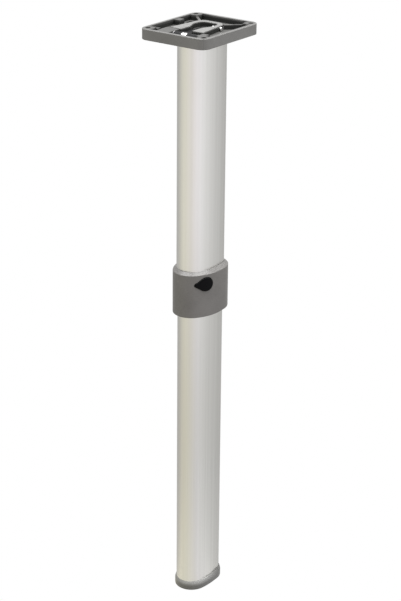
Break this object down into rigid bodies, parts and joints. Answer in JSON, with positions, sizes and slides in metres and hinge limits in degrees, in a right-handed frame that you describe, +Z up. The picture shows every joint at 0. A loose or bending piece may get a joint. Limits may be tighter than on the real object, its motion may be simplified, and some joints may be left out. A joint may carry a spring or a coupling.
{
  "type": "folding table leg",
  "caption": "Folding, telescopic table leg: oval tubes joined by a collar with a push button, a hinged tray-shaped screw plate on top and a moulded foot",
  "frame": {"origin": "On the axis of the oval tubes, at the underside of the foot", "axes": "+Z up along the tubes, +X along the wide side of the tubes and plate, -Y the side with the release button; the leg folds towards -X"},
  "size_m": [0.104, 0.089, 0.7],
  "materials": {
    "plate_grey": "satin grey paint on a die casting",
    "tube_silver": "satin anodised, drawn along its length",
    "grey_plastic": "finely grained moulding",
    "bush_dark": "smooth moulding",
    "head_black": "glass-filled moulding",
    "button_black": "polished moulding",
    "steel": "zinc plated",
    "spring_steel": "bare spring steel"
  },
  "bodies": {
    "plate": {"mounting_plate": "plate_grey", "hinge_pin": "steel", "pin_retainer": "steel", "friction_washers": "spring_steel", "catch_pin": "steel"},
    "upper_leg": {"leg_head": "head_black", "hinge_spacer": "steel", "head_rivets": "steel", "upper_tube": "tube_silver", "collar": "grey_plastic", "guide_bush": "bush_dark", "collar_screws": "steel", "button_spring": "spring_steel"},
    "lower_leg": {"lower_tube": "tube_silver", "tube_slider": "bush_dark", "slider_rivets": "steel", "foot_cap": "grey_plastic", "foot_rivets": "steel"},
    "release": {"release_button": "button_black", "lock_yoke": "spring_steel", "lock_pin": "steel"}
  },
  "joints": [
    {"name": "leg_fold", "type": "hinge", "parent": "plate", "child": "upper_leg", "pos_m": [-0.0405, 0, 0.6949], "axis": [0, 1, 0], "range_deg": [0, 90]},
    {"name": "leg_extension", "type": "slide", "parent": "upper_leg", "child": "lower_leg", "axis": [0, 0, 1], "range_m": [0, 0.192]},
    {"name": "button_press", "type": "slide", "parent": "upper_leg", "child": "release", "axis": [0, 1, 0], "range_m": [0, 0.0017], "stiffness_N_per_m": 1500, "springref_m": -0.002, "deforming": ["button_spring"]}
  ]
}
